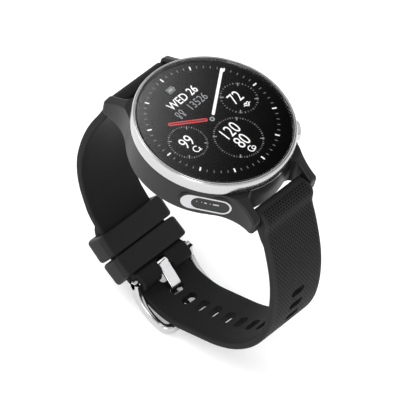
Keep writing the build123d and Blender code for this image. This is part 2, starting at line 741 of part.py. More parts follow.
with BuildPart() as buckle_frame:
    with BuildSketch(Plane.YZ):
        trace(arm_path.line, line_width=ARM_DEPTH)
        with Locations(BUCKLE_BAR):
            Circle(1.9)
        with Locations(FAR_BAR):
            Circle(ARM_DEPTH / 2)
    extrude(amount=ARM_OUT, both=True)
    # rounded outer corners, then the opening between the arms
    with BuildSketch(FRAME_PLANE):
        with Locations((0, BUCKLE_LENGTH + ARM_DEPTH / 2 - 15)):
            RectangleRounded(2 * ARM_OUT, 30, 3.4)
    extrude(amount=20, both=True, mode=Mode.INTERSECT)
    with BuildSketch(FRAME_PLANE):
        with Locations((0, BUCKLE_LENGTH - ARM_DEPTH / 2 - 12)):
            RectangleRounded(2 * ARM_IN, 24, 1.6)
    extrude(amount=20, both=True, mode=Mode.SUBTRACT)
    # holes for the bar ends and the rest for the tang
    with BuildSketch(Plane.YZ):
        with Locations(BUCKLE_BAR):
            Circle(BUCKLE_PIN_R + 0.06)
    extrude(amount=ARM_OUT, both=True, mode=Mode.SUBTRACT)
    with BuildSketch(Plane.YZ):
        trace(tang_path.line, line_width=1.2)
    extrude(amount=1.95, both=True, mode=Mode.SUBTRACT)
save(buckle_frame.part, "buckle_frame")

with BuildPart() as buckle_tang:
    with BuildSketch(Plane.YZ):
        trace(tang_path.line, line_width=0.9)
        with Locations(BUCKLE_BAR):
            Circle(1.35)
            Circle(BUCKLE_PIN_R + 0.08, mode=Mode.SUBTRACT)
    extrude(amount=1.6, both=True)
save(buckle_tang.part, "buckle_tang")

with BuildPart() as buckle_bar:
    with BuildSketch(Plane.YZ):
        with Locations(BUCKLE_BAR):
            Circle(BUCKLE_PIN_R)
    extrude(amount=ARM_OUT - 0.2, both=True)
save(buckle_bar.part, "buckle_bar")

# =====================================================================
# Quick-release spring bars
# =====================================================================
for clock, side in ((12, 1), (6, -1)):
    bar_plane = Plane((0, side * BAR_Y, BAR_Z), x_dir=(0, 1, 0), z_dir=(1, 0, 0))

    with BuildPart() as spring_bar:
        with BuildSketch(bar_plane):
            Circle(TUBE_R)
        extrude(amount=TUBE_HALF, both=True)
        with BuildSketch(bar_plane.offset(-PIN_TIP_END)):
            Circle(PIN_TIP_R)
        extrude(amount=PIN_TIP_END - TUBE_HALF)
        with BuildSketch(bar_plane.offset(-1.5)):
            Circle(TUBE_BORE_R)
        extrude(amount=TUBE_HALF + 2, mode=Mode.SUBTRACT)
        with BuildSketch(Plane.XY.offset(BAR_Z)):
            with Locations((LEVER_X - LEVER_TRAVEL / 2, side * BAR_Y)):
                RectangleRounded(LEVER_TRAVEL + 1.0, 1.0, 0.3)
        extrude(amount=-2, mode=Mode.SUBTRACT)
    save(spring_bar.part, f"spring_bar_{clock}")

    with BuildPart() as release_pin:
        with BuildSketch(bar_plane.offset(2.7)):
            Circle(TUBE_BORE_R - 0.06)
        extrude(amount=6.8)
        with BuildSketch(bar_plane.offset(9.5)):
            Circle(PIN_TIP_R)
        extrude(amount=PIN_TIP_END - 9.5)
        with BuildSketch(Plane.XY.offset(BAR_Z)):
            with Locations((LEVER_X, side * BAR_Y)):
                Circle(0.4)
        extrude(amount=-2.8)
    save(release_pin.part, f"release_pin_{clock}")

    with BuildPart() as bar_spring:
        with BuildLine():
            coil_start = (-1.35, side * BAR_Y, BAR_Z)
            coil = Helix(pitch=0.4, height=2.4, radius=0.43, center=coil_start, direction=(1, 0, 0))
        with BuildSketch(Plane(coil @ 0, z_dir=coil % 0)):
            Rectangle(0.22, 0.22)
        sweep(path=coil, is_frenet=True)
    save(bar_spring.part, f"spring_bar_{clock}_spring")
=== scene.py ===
import functools
import json
import math

import bmesh
import bpy
from mathutils import Matrix, Vector


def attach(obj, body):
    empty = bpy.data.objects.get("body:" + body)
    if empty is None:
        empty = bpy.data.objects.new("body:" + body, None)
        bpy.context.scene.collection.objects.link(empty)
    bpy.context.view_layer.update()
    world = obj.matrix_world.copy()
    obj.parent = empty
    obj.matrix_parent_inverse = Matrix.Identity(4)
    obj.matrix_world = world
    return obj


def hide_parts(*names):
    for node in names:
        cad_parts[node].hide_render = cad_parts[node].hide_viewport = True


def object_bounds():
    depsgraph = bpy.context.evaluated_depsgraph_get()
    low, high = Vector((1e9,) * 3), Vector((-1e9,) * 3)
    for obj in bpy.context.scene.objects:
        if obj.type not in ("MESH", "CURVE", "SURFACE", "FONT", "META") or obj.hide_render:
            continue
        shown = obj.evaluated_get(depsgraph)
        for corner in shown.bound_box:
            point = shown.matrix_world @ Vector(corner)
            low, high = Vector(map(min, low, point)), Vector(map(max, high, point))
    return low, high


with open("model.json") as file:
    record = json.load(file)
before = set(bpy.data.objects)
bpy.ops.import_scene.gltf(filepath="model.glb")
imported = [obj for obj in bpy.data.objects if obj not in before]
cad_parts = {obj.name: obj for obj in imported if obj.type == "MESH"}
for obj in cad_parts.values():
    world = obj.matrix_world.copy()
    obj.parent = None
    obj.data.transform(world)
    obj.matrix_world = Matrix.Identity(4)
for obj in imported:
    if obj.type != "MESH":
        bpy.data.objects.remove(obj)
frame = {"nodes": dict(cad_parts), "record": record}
cad_low, cad_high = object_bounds()
MM = 0.001
BUMP_DISTANCE = 0.05 * MM
# Edges sharper than this, in degrees, stay sharp in smooth shading.
SHARP = 35


# ==== Materials ====
def node_material(name):
    """A new material with its shader and its node tree."""
    material = bpy.data.materials.new(name)
    material.use_nodes = True
    tree = material.node_tree
    return material, tree, tree.nodes["Principled BSDF"]


def map_range(tree, value, low=0, high=1, start=0, end=1, smooth=False):
    """A socket's value remapped from start..end to low..high."""
    remap = tree.nodes.new("ShaderNodeMapRange")
    if smooth:
        remap.interpolation_type = "SMOOTHSTEP"
    for socket, number in (("From Min", start), ("From Max", end), ("To Min", low), ("To Max", high)):
        remap.inputs[socket].default_value = number
    tree.links.new(value, remap.inputs["Value"])
    return remap.outputs["Result"]


def math_node(tree, operation, first, second=None):
    """The output of a maths node on two sockets or numbers."""
    node = tree.nodes.new("ShaderNodeMath")
    node.operation = operation
    for socket, value in zip(node.inputs, (first, second)):
        if isinstance(value, (int, float)):
            socket.default_value = value
        elif value is not None:
            tree.links.new(value, socket)
    return node.outputs[0]


def noise_ramp(tree, scale, detail, low, high):
    """Noise in object space, remapped to run from low to high; returns the output socket and the noise node."""
    coords = tree.nodes.new("ShaderNodeTexCoord")
    noise = tree.nodes.new("ShaderNodeTexNoise")
    noise.inputs["Scale"].default_value = scale
    noise.inputs["Detail"].default_value = detail
    tree.links.new(coords.outputs["Object"], noise.inputs["Vector"])
    return map_range(tree, noise.outputs["Fac"], low, high), noise


def add_bump(tree, shader, height, strength, distance=BUMP_DISTANCE):
    """Bump from a height socket; distance is in metres."""
    bump = tree.nodes.new("ShaderNodeBump")
    bump.inputs["Strength"].default_value = strength
    bump.inputs["Distance"].default_value = distance
    tree.links.new(height, bump.inputs["Height"])
    tree.links.new(bump.outputs["Normal"], shader.inputs["Normal"])


def mix_colours(tree, factor, first, second, target):
    """Runs a target socket from one colour to another by a factor socket."""
    mix = tree.nodes.new("ShaderNodeMix")
    mix.data_type = "RGBA"
    mix.inputs["A"].default_value = [*first, 1]
    mix.inputs["B"].default_value = [*second, 1]
    tree.links.new(factor, mix.inputs["Factor"])
    tree.links.new(mix.outputs["Result"], target)


def varied_colour(tree, shader, colour, spread, scale):
    """Base colour that wanders a little round colour."""
    factor, _ = noise_ramp(tree, scale, 3, 0, 1)
    darker = [c * (1 - spread) for c in colour]
    lighter = [min(1, c * (1 + spread)) for c in colour]
    mix_colours(tree, factor, darker, lighter, shader.inputs["Base Color"])


def metal(name, colour, rough, grain=60, bump=0.02):
    """Metal with a fine grain in its roughness and its surface."""
    material, tree, shader = node_material(name)
    varied_colour(tree, shader, colour, 0.05, grain)
    shader.inputs["Metallic"].default_value = 1
    result, noise = noise_ramp(tree, grain * 20, 4, rough * 0.8, rough * 1.2)
    tree.links.new(result, shader.inputs["Roughness"])
    add_bump(tree, shader, noise.outputs["Fac"], bump)
    return material


def plain(name, colour, rough, grain=400, spread=0.12, bump=0.15, specular=0.5):
    """Plastic, rubber or film: dielectric with a fine surface."""
    material, tree, shader = node_material(name)
    varied_colour(tree, shader, colour, spread, grain)
    result, noise = noise_ramp(tree, grain * 8, 4, rough * 0.9, min(1, rough * 1.1))
    tree.links.new(result, shader.inputs["Roughness"])
    shader.inputs["Specular IOR Level"].default_value = specular
    add_bump(tree, shader, noise.outputs["Fac"], bump)
    return material


def lit(name, colour, strength):
    """A part that gives light, such as the display's figures, or a glowing painted highlight."""
    material, tree, shader = node_material(name)
    varied_colour(tree, shader, [c * 0.2 for c in colour], 0.1, 500)
    factor, _ = noise_ramp(tree, 300, 2, 0, 1)
    mix_colours(tree, factor, [c * 0.95 for c in colour], colour, shader.inputs["Emission Color"])
    shader.inputs["Emission Strength"].default_value = strength
    shader.inputs["Roughness"].default_value = 0.5
    return material


def clear(name, colour, rough):
    """Clear glass."""
    material, tree, shader = node_material(name)
    varied_colour(tree, shader, colour, 0.01, 200)
    shader.inputs["Transmission Weight"].default_value = 1
    shader.inputs["IOR"].default_value = 1.45
    result, _ = noise_ramp(tree, 900, 2, rough * 0.9, rough * 1.1)
    tree.links.new(result, shader.inputs["Roughness"])
    return material


CASE = plain(
    "case_satin", (0.008, 0.008, 0.0085), 0.42, grain=600, spread=0.08, bump=0.05, specular=0.25
)
BEZEL = metal("bezel_steel", (0.5, 0.5, 0.505), 0.2)
CHROME = metal("chrome", (0.56, 0.56, 0.57), 0.12, bump=0.01)
# A lighter copy of the buckle's chrome for the tang: painted highlight on the tang.
TANG_HIGHLIGHT_CHROME = metal("tang_chrome_highlighted", (0.8, 0.8, 0.81), 0.12, bump=0.01)
STEEL = metal("spring_steel", (0.55, 0.55, 0.57), 0.28)
GOLD = metal("contact_gold", (0.85, 0.62, 0.28), 0.2)
FOIL = metal("battery_foil", (0.6, 0.6, 0.62), 0.35)
GLASS = clear("cover_glass", (1, 1, 1), 0.0)
SENSOR_GLASS = plain("sensor_glass", (0.006, 0.006, 0.007), 0.08, bump=0.01, specular=0.3)
BLACK_GLOSS = plain("display_black", (0.0012, 0.0012, 0.0013), 0.6, bump=0.0, specular=0.0)
STRAP = plain("strap_rubber", (0.0075, 0.0075, 0.0078), 0.6, grain=900, bump=0.3, specular=0.14)
KEEPER = plain("keeper_rubber", (0.011, 0.011, 0.0115), 0.5, grain=900, bump=0.25, specular=0.18)
SEAL = plain("seal_rubber", (0.02, 0.02, 0.02), 0.6)
COVER = plain("cover_plastic", (0.03, 0.03, 0.032), 0.5, grain=1200)
INNER = plain("inner_plastic", (0.05, 0.05, 0.055), 0.55)
BOARD = plain("board_green", (0.02, 0.12, 0.05), 0.4)
CHIP = plain("chip_black", (0.02, 0.02, 0.022), 0.5)
FILM = plain("flex_film", (0.35, 0.15, 0.03), 0.3)
LED = plain("led_clear", (0.75, 0.8, 0.7), 0.2)
FINGER_METAL = metal("finger_metal", (0.52, 0.52, 0.53), 0.3, grain=120)
# Painted highlight: a grey glow for the glints at the finger window.
PAINTED_GLINT = lit("finger_painted_glint", (0.55, 0.56, 0.58), 0.6)
WHITE_INK = lit("dial_white", (1, 1, 1), 1.0)
GREY_INK = lit("dial_grey", (0.34, 0.35, 0.36), 0.9)
DIM_INK = lit("dial_dim", (0.17, 0.17, 0.175), 0.9)
RED_INK = lit("dial_red", (0.75, 0.05, 0.06), 0.95)
DARK_RED_INK = lit("dial_dark_red", (0.16, 0.01, 0.012), 0.9)

node_materials = {
    "case_metal": CASE,
    "bezel_metal": BEZEL,
    "clear_glass": GLASS,
    "display_black": BLACK_GLOSS,
    "polished_metal": CHROME,
    "sensor_glass": SENSOR_GLASS,
    "strap_black": STRAP,
    "keeper_black": KEEPER,
    "seal_rubber": SEAL,
    "adhesive": SEAL,
    "inner_plastic": INNER,
    "cover_plastic": COVER,
    "board_green": BOARD,
    "chip_black": CHIP,
    "shield_steel": STEEL,
    "spring_steel": STEEL,
    "motor_steel": STEEL,
    "contact_gold": GOLD,
    "battery_foil": FOIL,
    "flex_film": FILM,
    "led_clear": LED,
}
for entry in frame["record"]["subparts"]:
    solid = frame["nodes"][entry["node"]]
    solid.data.materials.clear()
    solid.data.materials.append(node_materials[entry["material_slot"]])

# ==== Mesh helpers: shapes are given in millimetres, in the CAD frame ====
def closed_mesh(name, points, faces):
    """A mesh in metres from points in millimetres, with its faces turned outwards."""
    mesh = bpy.data.meshes.new(name)
    mesh.from_pydata([Vector(p) * MM for p in points], [], faces)
    mesh.validate()
    build = bmesh.new()
    build.from_mesh(mesh)
    bmesh.ops.recalc_face_normals(build, faces=build.faces)
    build.to_mesh(mesh)
    build.free()
    return mesh


def add_piece(name, points, faces, material, body, slot, sharp=SHARP, uv=None):
    """A smooth-shaded mesh piece that rides on a body; uv gives one pair for each point."""
    mesh = closed_mesh(name, points, faces)
    mesh.materials.append(material)
    if uv:
        layer = mesh.uv_layers.new(name="across")
        for loop in mesh.loops:
            layer.data[loop.index].uv = uv[loop.vertex_index]
    shade(mesh, sharp)
    piece = bpy.data.objects.new(name, mesh)
    bpy.context.scene.collection.objects.link(piece)
    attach(piece, body)
    return piece


def shade(mesh, sharp=SHARP):
    """Smooth shading, except over edges sharper than an angle in degrees."""
    for polygon in mesh.polygons:
        polygon.use_smooth = True
    mesh.set_sharp_from_angle(angle=math.radians(sharp))


def placed(origin, x, y, z):
    """The matrix with these axes at an origin."""
    return Matrix.Translation(origin) @ Matrix((x, y, z)).transposed().to_4x4()


def lathe(profile, segments, place=Matrix.Identity(4)):
    """Points and faces of a closed (radius, height) profile turned about place's Z."""
    points = []
    rings = []
    for radius, height in profile:
        if radius < 1e-6:
            rings.append([len(points)] * segments)
            points.append(place @ Vector((0, 0, height)))
            continue
        rings.append(list(range(len(points), len(points) + segments)))
        for step in range(segments):
            angle = 2 * math.pi * step / segments
            rim = (radius * math.cos(angle), radius * math.sin(angle), height)
            points.append(place @ Vector(rim))
    faces = []
    for low, high in zip(rings, rings[1:] + rings[:1]):
        for step in range(segments):
            after = (step + 1) % segments
            corners = [low[step], low[after], high[after], high[step]]
            unique = list(dict.fromkeys(corners))
            if len(unique) > 2:
                faces.append(unique)
    return points, faces


def radial_place(angle, distance, height, shift=0):
    """Matrix whose Z points out of the case at an angle, with X along the case side and Y up."""
    turn = math.radians(angle)
    out = Vector((math.cos(turn), math.sin(turn), 0))
    along = Vector((-math.sin(turn), math.cos(turn), 0))
    origin = out * distance + along * shift + Vector((0, 0, height))
    return placed(origin, along, Vector((0, 0, 1)), out)


def arc_points(centre, radius, start=0, end=360, steps=48):
    """Points of an arc in a plane, both ends included; angles in degrees."""
    return [
        (
            centre[0] + radius * math.cos(math.radians(start + (end - start) * k / steps)),
            centre[1] + radius * math.sin(math.radians(start + (end - start) * k / steps)),
        )
        for k in range(steps + 1)
    ]


def rounded_rectangle(half_width, half_height, radius, steps=8):
    """A closed outline, counterclockwise from the right side."""
    points = []
    for sx, sy, start in ((1, 1, 0), (-1, 1, 90), (-1, -1, 180), (1, -1, 270)):
        centre = (sx * (half_width - radius), sy * (half_height - radius))
        points += arc_points(centre, radius, start, start + 90, steps)
    return points


def smooth_curve(points, steps):
    """Catmull-Rom curve through 2-D points, steps samples per span."""
    guarded = [points[0]] + list(points) + [points[-1]]
    result = []
    for a, b, c, d in zip(guarded, guarded[1:], guarded[2:], guarded[3:]):
        for k in range(steps):
            t = k / steps
            square = [2 * p - 5 * q + 4 * r - s for p, q, r, s in zip(a, b, c, d)]
            cube = [3 * q - p - 3 * r + s for p, q, r, s in zip(a, b, c, d)]
            result.append(
                tuple(
                    0.5 * (2 * q + (r - p) * t + v * t * t + w * t**3)
                    for p, q, r, v, w in zip(a, b, c, square, cube)
                )
            )
    result.append(tuple(points[-1]))
    return result


def running_lengths(line):
    """Distance of each point along a line from its first one."""
    lengths = [0.0]
    for a, b in zip(line, line[1:]):
        lengths.append(lengths[-1] + math.dist(a, b))
    return lengths


def resample(points, count):
    """count points evenly spaced along a 2-D polyline."""
    lengths = running_lengths(points)
    result = []
    index = 0
    for k in range(count):
        target = lengths[-1] * k / (count - 1)
        while index < len(points) - 2 and lengths[index + 1] < target:
            index += 1
        span = lengths[index + 1] - lengths[index]
        t = (target - lengths[index]) / span if span > 1e-9 else 0
        a, b = points[index], points[index + 1]
        result.append((a[0] + (b[0] - a[0]) * t, a[1] + (b[1] - a[1]) * t))
    return result


def join(shapes):
    """One pair of points and faces from several."""
    vertices, faces = [], []
    for some_vertices, some_faces in shapes:
        offset = len(vertices)
        vertices += some_vertices
        faces += [tuple(index + offset for index in face) for face in some_faces]
    return vertices, faces


def prism(outline, place, low, high):
    """Points and faces of an outline in place's X and Y, from low to high along its Z."""
    count = len(outline)
    points = [place @ Vector((x, y, z)) for z in (low, high) for x, y in outline]
    faces = [tuple(range(count - 1, -1, -1)), tuple(range(count, 2 * count))]
    faces += [(k, (k + 1) % count, (k + 1) % count + count, k + count) for k in range(count)]
    return points, faces


def tube_faces(size, rings):
    """Faces of a tube of rings with size points each, closed at both ends."""
    total = size * rings
    faces = [tuple(range(size)), tuple(range(total - 1, total - size - 1, -1))]
    for start in range(0, total - size, size):
        for k in range(size):
            a, b = start + k, start + (k + 1) % size
            faces.append((a, b, b + size, a + size))
    return faces


def cut(piece, shapes):
    """Takes closed shapes out of a piece."""
    cutter = bpy.data.objects.new("cutter", closed_mesh("cutter", *join(shapes)))
    bpy.context.scene.collection.objects.link(cutter)
    modifier = piece.modifiers.new("cut", "BOOLEAN")
    modifier.operation = "DIFFERENCE"
    modifier.solver = "EXACT"
    modifier.object = cutter
    bpy.context.view_layer.update()
    graph = bpy.context.evaluated_depsgraph_get()
    result = bpy.data.meshes.new_from_object(piece.evaluated_get(graph))
    piece.modifiers.clear()
    old = piece.data
    piece.data = result
    bpy.data.meshes.remove(old)
    bpy.data.objects.remove(cutter)
    shade(piece.data)


def soften(piece, width):
    """Rounds a piece's sharp edges by a width in millimetres."""
    bevel = piece.modifiers.new("soften", "BEVEL")
    bevel.width = width * MM
    bevel.segments = 3
    bevel.limit_method = "ANGLE"
    bevel.angle_limit = math.radians(40)


# ==== Bezel, cover glass and lit dial ====
BEZEL_PROFILE = [
    (20.6, 11.6), (20.6, 12.9), (22.4, 12.9), (22.4, 14.38), (22.44, 14.47), (22.52, 14.5), (22.6, 14.5),
    (22.66, 14.46), (22.7, 14.36), (22.74, 14.24), (22.8, 14.24), (22.84, 14.36), (22.92, 14.43), (23.02, 14.4),
    (23.14, 14.25), (23.28, 13.9), (23.4, 13.4), (23.46, 12.9), (23.48, 12.3), (23.48, 11.2), (23.45, 10.8),
    (23.38, 10.5), (23.3, 10.4), (21.55, 10.4), (21.55, 9.4), (20.9, 9.4), (20.9, 11.6),
]
points, faces = lathe(BEZEL_PROFILE, 240)
bezel_ring = add_piece("bezel_ring", points, faces, BEZEL, "case", "bezel_metal")
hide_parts("bezel")

GLASS_TOP = 14.5
DISPLAY_TOP = 13.2
GLASS_BASE = DISPLAY_TOP + 0.12
# The last ring before the centre keeps the glass's top flat in smooth shading.
GLASS_PROFILE = [(0, GLASS_BASE), (22.25, GLASS_BASE), (22.3, 13.4), (22.3, 14.25), (22.2, 14.42)]
GLASS_PROFILE += [(22.0, GLASS_TOP), (21.85, GLASS_TOP), (0, GLASS_TOP)]
points, faces = lathe(GLASS_PROFILE, 240)
glass_disc = add_piece("glass_disc", points, faces, GLASS, "case", "clear_glass")
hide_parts("cover_glass")

PANEL_R = 20.2
BORDER_R = 22.25
panel = lathe([(0, 12.3), (PANEL_R, 12.3), (PANEL_R, DISPLAY_TOP), (0, DISPLAY_TOP)], 200)
border = lathe([(PANEL_R, 12.9), (BORDER_R, 12.9), (BORDER_R, DISPLAY_TOP), (PANEL_R, DISPLAY_TOP)], 200)
display_disc = add_piece("display_disc", *join([panel, border]), BLACK_GLOSS, "case", "display_black")
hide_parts("display_panel", "glass_adhesive")

# Heights of the raised parts, and the lit face's own place, turn and scale on the display.
INK_TOP = DISPLAY_TOP + 0.05
HAND_TOP = INK_TOP + 0.02
INK_DEPTH = 0.04
FACE_X = 0.1
FACE_Y = 1.05
FACE_TURN = math.radians(2.2)
FACE_SCALE = 1.02
# Height of a capital letter in Blender's own font, as a part of its size.
CAPITAL = 0.7


def ribbon(points, width, height=INK_TOP, closed=False):
    """A thin raised line along 2-D points."""
    half = width / 2
    count = len(points)
    vertices = []
    for index, point in enumerate(points):
        before = points[index - 1] if (index or closed) else point
        after = points[(index + 1) % count] if (index < count - 1 or closed) else point
        heading = Vector((after[0] - before[0], after[1] - before[1])).normalized()
        for side in (1, -1):
            aside = side * half
            for z in (height, height - INK_DEPTH):
                vertices.append((point[0] - heading.y * aside, point[1] + heading.x * aside, z))
    faces = []
    for index in range(count if closed else count - 1):
        a, b = 4 * index, 4 * ((index + 1) % count)
        faces += [(a, b, b + 2, a + 2), (a, a + 1, b + 1, b)]
        faces += [(a + 2, b + 2, b + 3, a + 3), (a + 1, a + 3, b + 3, b + 1)]
    if not closed:
        end = 4 * (count - 1)
        faces += [(0, 2, 3, 1), (end, end + 1, end + 3, end + 2)]
    return vertices, faces


def plate(outline, height=INK_TOP):
    """A thin raised filled outline."""
    count = len(outline)
    vertices = [(x, y, z) for z in (height, height - INK_DEPTH) for x, y in outline]
    faces = [tuple(range(count)), tuple(range(2 * count - 1, count - 1, -1))]
    faces += [(k, (k + 1) % count, (k + 1) % count + count, k + count) for k in range(count)]
    return vertices, faces


def ticks(centre, count, inner, outer, width, first=0, skip=None):
    """Radial lines evenly round a centre, from an angle in degrees; every skip-th is left out."""
    shapes = []
    for k in range(count):
        if skip and k % skip == 0:
            continue
        turn = math.radians(first + 360 * k / count)
        x, y = math.cos(turn), math.sin(turn)
        ends = [(centre[0] + x * radius, centre[1] + y * radius) for radius in (inner, outer)]
        shapes.append(ribbon(ends, width))
    return shapes


def bar_outline(inner, outer, width, angle):
    """A rounded bar outline along a direction from the dial centre."""
    half = width / 2
    outline = arc_points((outer - half, 0), half, -90, 90, 10)
    outline += arc_points((inner + half, 0), half, 90, 270, 10)
    c, s = math.cos(math.radians(angle)), math.sin(math.radians(angle))
    return [(x * c - y * s, x * s + y * c) for x, y in outline]


def ink(name, shapes, material):
    """Shapes in the lit face's own frame, which sits and is turned a little on the display."""
    vertices, faces = join(shapes)
    c, s = FACE_SCALE * math.cos(FACE_TURN), FACE_SCALE * math.sin(FACE_TURN)
    vertices = [(FACE_X + x * c - y * s, FACE_Y + x * s + y * c, z) for x, y, z in vertices]
    add_piece(name, vertices, faces, material, "case", "display_black", sharp=30)


def write(text, place, height, boldness=0.0, narrow=1.0):
    """Text as flat faces centred on place; height is the capital height."""
    curve = bpy.data.curves.new("letters", "FONT")
    curve.body = text
    curve.align_x = "CENTER"
    curve.offset = boldness
    curve.resolution_u = 6
    letters = bpy.data.objects.new("letters", curve)
    bpy.context.scene.collection.objects.link(letters)
    bpy.context.view_layer.update()
    graph = bpy.context.evaluated_depsgraph_get()
    flat = bpy.data.meshes.new_from_object(letters.evaluated_get(graph))
    bpy.data.objects.remove(letters)
    scale = height / CAPITAL
    x, y = place
    vertices = [
        (x + v.co.x * scale * narrow, y + (v.co.y - CAPITAL / 2) * scale, INK_TOP) for v in flat.vertices
    ]
    faces = [tuple(polygon.vertices) for polygon in flat.polygons]
    bpy.data.meshes.remove(flat)
    return vertices, faces


def moved(outline, x, y, flip=1):
    """An outline moved by x and y, mirrored across if flip is -1."""
    return [(x + flip * px, y + py) for px, py in outline]


hour_ticks = ticks((0, 0), 12, 17.6, 18.9, 0.42)
minute_ticks = ticks((0, 0), 60, 18.0, 18.8, 0.26, skip=5)
sub_ticks = []
# The small dials: centre, radius and number of fine ticks.
SUB_DIALS = [((11.3, -0.2), 5.4, 36), ((-11.2, -0.8), 5.6, 48), ((0.5, -9.1), 7.1, 60)]
for centre, radius, fine_count in SUB_DIALS:
    sub_ticks += ticks(centre, 4, radius - 1.1, radius, 0.3, first=45)
    sub_ticks += ticks(centre, 12, radius - 0.5, radius, 0.26)
    minute_ticks += ticks(centre, fine_count, radius - 0.5, radius - 0.05, 0.2)
ink("dial_hour_ticks", hour_ticks, WHITE_INK)
ink("dial_minute_ticks", minute_ticks, DIM_INK)
ink("dial_sub_ticks", sub_ticks, GREY_INK)

readings = [
    write("WED 26", (-0.4, 10.5), 2.6, boldness=0.012, narrow=0.84),
    write("72", (10.6, 0.7), 3.7, narrow=0.78),
    write("99", (-11.4, -0.4), 3.7, narrow=0.78),
    write("120", (0.3, -5.9), 3.9, narrow=0.78),
    write("80", (0.3, -10.4), 3.9, narrow=0.78),
]
ink("dial_readings", readings, WHITE_INK)
ink("dial_step_count", [write("13526", (1.6, 6.9), 2.5, narrow=0.82)], GREY_INK)

FOOT = [(-0.45, 0.2), (-0.5, 0.9), (-0.2, 1.3), (0.2, 1.2), (0.4, 0.7), (0.3, 0.1), (0.05, -0.2)]
FOOT += [(-0.2, -0.25)]
HEEL = [(-0.25, -0.55), (0.1, -0.5), (0.15, -0.95), (-0.05, -1.25), (-0.3, -1.0)]
steps_icon = [
    ribbon(moved(shape, x, 6.9, flip), 0.24, closed=True)
    for x, flip in ((-5.9, 1), (-4.55, -1))
    for shape in (FOOT, HEEL)
]
ink("dial_steps_icon", steps_icon, GREY_INK)

battery_icon = [
    ribbon([(-1.9, 13.6), (0.3, 13.6), (0.3, 15.2), (-1.9, 15.2)], 0.22, closed=True),
    plate([(-1.6, 13.9), (0.0, 13.9), (0.0, 14.9), (-1.6, 14.9)]),
    plate([(0.4, 14.1), (0.65, 14.1), (0.65, 14.7), (0.4, 14.7)]),
]
ink("dial_battery_icon", battery_icon, GREY_INK)

HEART = [(0, -0.75), (-0.8, 0.05), (-0.75, 0.5), (-0.38, 0.65), (0, 0.3), (0.38, 0.65), (0.75, 0.5)]
HEART += [(0.8, 0.05)]
PULSE = [(10.0, -3.1), (10.9, -3.1), (11.2, -2.5), (11.5, -3.7), (11.8, -3.1), (12.6, -3.1)]
SMALL_TWO = [(-10.6, -4.1), (-10.2, -3.9), (-10.3, -4.5), (-10.6, -4.9), (-10.0, -4.9)]
icons = [
    ribbon(moved(HEART, 11.3, -3.1), 0.28, closed=True),
    ribbon(PULSE, 0.2),
    ribbon(arc_points((-11.2, -3.9), 0.95, 40, 330, 24), 0.3),
    ribbon(SMALL_TWO, 0.22),
    ribbon(arc_points((0.2, -14.0), 0.95, 50, 330, 24), 0.3),
    ribbon(arc_points((0.95, -14.2), 0.55, steps=16), 0.24),
]
ink("dial_icons", icons, WHITE_INK)

ink("dial_minute_hand", [plate(bar_outline(1.5, 18.7, 0.85, 32), HAND_TOP)], WHITE_INK)
ink("dial_hour_hand", [ribbon(bar_outline(1.45, 12.5, 0.8, 147), 0.3, HAND_TOP, closed=True)], RED_INK)
ink("dial_hour_hand_core", [plate(bar_outline(1.6, 12.35, 0.5, 147), INK_TOP + 0.01)], DARK_RED_INK)
hub = ribbon(arc_points((0, 0), 0.55, steps=24)[:-1], 0.42, HAND_TOP, closed=True)
ink("dial_centre", [hub], GREY_INK)

# ==== Strap: side outlines in the (Y, Z) plane, drawn across the width ====
# The strap's closed part follows circles about (LOOP_Y, BAR_Z); angles on them are in degrees.
LOOP_Y = -13.6
BAR_Z = 4.2
INNER_R = 64.5
OUTER_R = 67.15
# Half thickness of the inner and the outer strap half, half width, edge rounding, shaped end's length.
INNER_HALF = 1.2
OUTER_HALF = 1.15
STRAP_HALF = 10.0
STRAP_EDGE = 0.55
END_PIECE = 5
# A shoulder's outer line leaves the route this far before its end.
NEAR_END = 1
# The buckle bar on those circles.
BUCKLE_ANGLE = -72.3
BUCKLE_R = 63.8
# Sampling of routes, bands, shaped ends and their curves.
ROUTE_STEP = 0.5
BAND_STEPS = 150
START_POINTS = 30
END_POINTS = 36
SPAN_STEPS = 6


def loop_point(radius, angle):
    """(y, z) of a point on the loop."""
    turn = math.radians(angle)
    return (LOOP_Y + radius * math.cos(turn), BAR_Z + radius * math.sin(turn))


class Route:
    """A plane curve of tangent arcs and lines, sampled finely: (y, z, heading in radians, length so far)."""

    def __init__(self, start, heading):
        self.samples = [(start[0], start[1], math.radians(heading), 0.0)]

    def bend(self, radius, turn):
        """An arc; a positive turn, in degrees, bends left."""
        y, z, heading, length = self.samples[-1]
        total = abs(math.radians(turn)) * radius
        curve = math.copysign(1 / radius, turn)
        steps = max(2, math.ceil(total / ROUTE_STEP))
        for k in range(1, steps + 1):
            s = total * k / steps
            now = heading + curve * s
            next_y = y + (math.sin(now) - math.sin(heading)) / curve
            next_z = z - (math.cos(now) - math.cos(heading)) / curve
            self.samples.append((next_y, next_z, now, length + s))

    def run(self, distance):
        """A straight line."""
        y, z, heading, length = self.samples[-1]
        steps = max(2, math.ceil(distance / ROUTE_STEP))
        for k in range(1, steps + 1):
            s = distance * k / steps
            place = (y + math.cos(heading) * s, z + math.sin(heading) * s)
            self.samples.append((*place, heading, length + s))

    def reach(self, target):
        """An arc tangent to the route that ends at a point."""
        y, z, heading, _ = self.samples[-1]
        chord = math.dist((y, z), target)
        lean = math.atan2(target[1] - z, target[0] - y) - heading
        lean = (lean + math.pi) % (2 * math.pi) - math.pi
        self.bend(chord / (2 * abs(math.sin(lean))), math.degrees(2 * lean))

    def at(self, length):
        """(y, z, heading) at a distance along the route."""
        for before, after in zip(self.samples, self.samples[1:]):
            if after[3] >= length:
                t = (length - before[3]) / (after[3] - before[3])
                return tuple(p + (q - p) * t for p, q in zip(before[:3], after[:3]))
        return self.samples[-1][:3]


def offset_point(sample, distance):
    """A point to the left of the route by a distance."""
    return (sample[0] - math.sin(sample[2]) * distance, sample[1] + math.cos(sample[2]) * distance)


